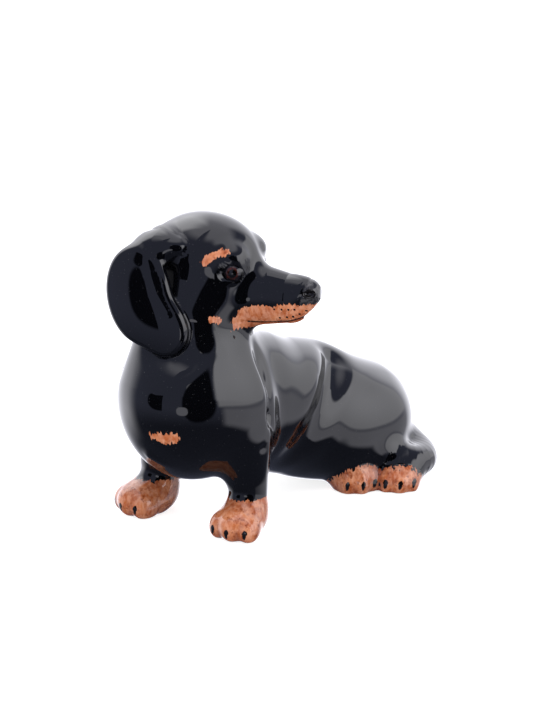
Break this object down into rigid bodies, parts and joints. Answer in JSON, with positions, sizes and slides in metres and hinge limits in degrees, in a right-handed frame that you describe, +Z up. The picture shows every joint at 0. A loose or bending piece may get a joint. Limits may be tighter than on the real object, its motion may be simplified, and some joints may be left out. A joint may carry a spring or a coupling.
{
  "type": "ceramic dog figurine",
  "caption": "Glazed ceramic dachshund sitting on its haunches with its head turned over one shoulder; a free-standing ornament with flat unglazed soles.",
  "frame": {"origin": "middle of the footprint's bounding box, on the surface the dog stands on", "axes": "+X towards the dog's left, +Y towards its rump, +Z up; the muzzle points towards +X"},
  "size_m": [0.095, 0.1723, 0.145],
  "materials": {
    "black_glaze": "gloss",
    "tan_glaze": "gloss",
    "eye_glaze": "gloss"
  },
  "bodies": {
    "root": {"trunk": "black_glaze", "head": "black_glaze", "left_ear": "black_glaze", "right_ear": "black_glaze", "left_foreleg": "black_glaze", "right_foreleg": "black_glaze", "tail": "black_glaze", "left_hind_paw": "tan_glaze", "right_hind_paw": "tan_glaze", "left_eye": "eye_glaze", "right_eye": "eye_glaze"}
  },
  "joints": []
}
